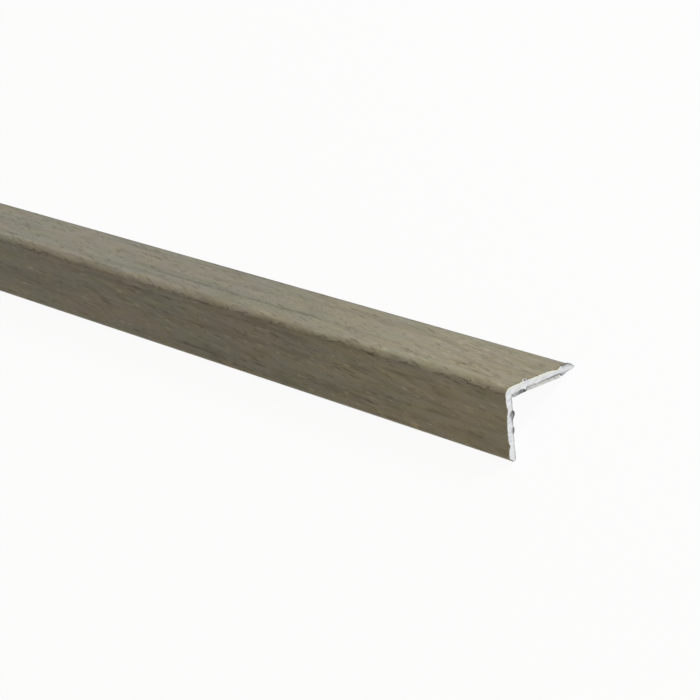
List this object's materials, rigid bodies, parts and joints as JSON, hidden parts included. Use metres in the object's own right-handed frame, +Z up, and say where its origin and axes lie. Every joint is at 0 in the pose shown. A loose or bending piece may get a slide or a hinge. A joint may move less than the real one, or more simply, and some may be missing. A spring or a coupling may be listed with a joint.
{
  "type": "corner guard moulding",
  "caption": "Self-adhesive aluminium corner guard: an unequal angle wrapped in grey-oak print foil, stuck over an outside wall corner or step edge.",
  "frame": {"origin": "on the floor, under the centre of the bounding box, at mid length", "axes": "+X along the length, +Y across towards the wide leg, +Z up; the outer corner of the angle is uppermost and both leg tips rest on Z = 0"},
  "size_m": [0.9, 0.03, 0.0158],
  "materials": {
    "bare_aluminium": "satin",
    "grey_oak_foil": "satin",
    "foam_tape": "matte",
    "liner_film": "satin"
  },
  "bodies": {
    "root": {"aluminium_angle": "bare_aluminium", "decor_foil": "grey_oak_foil", "adhesive_tape": "foam_tape", "release_liner": "liner_film"}
  },
  "joints": []
}
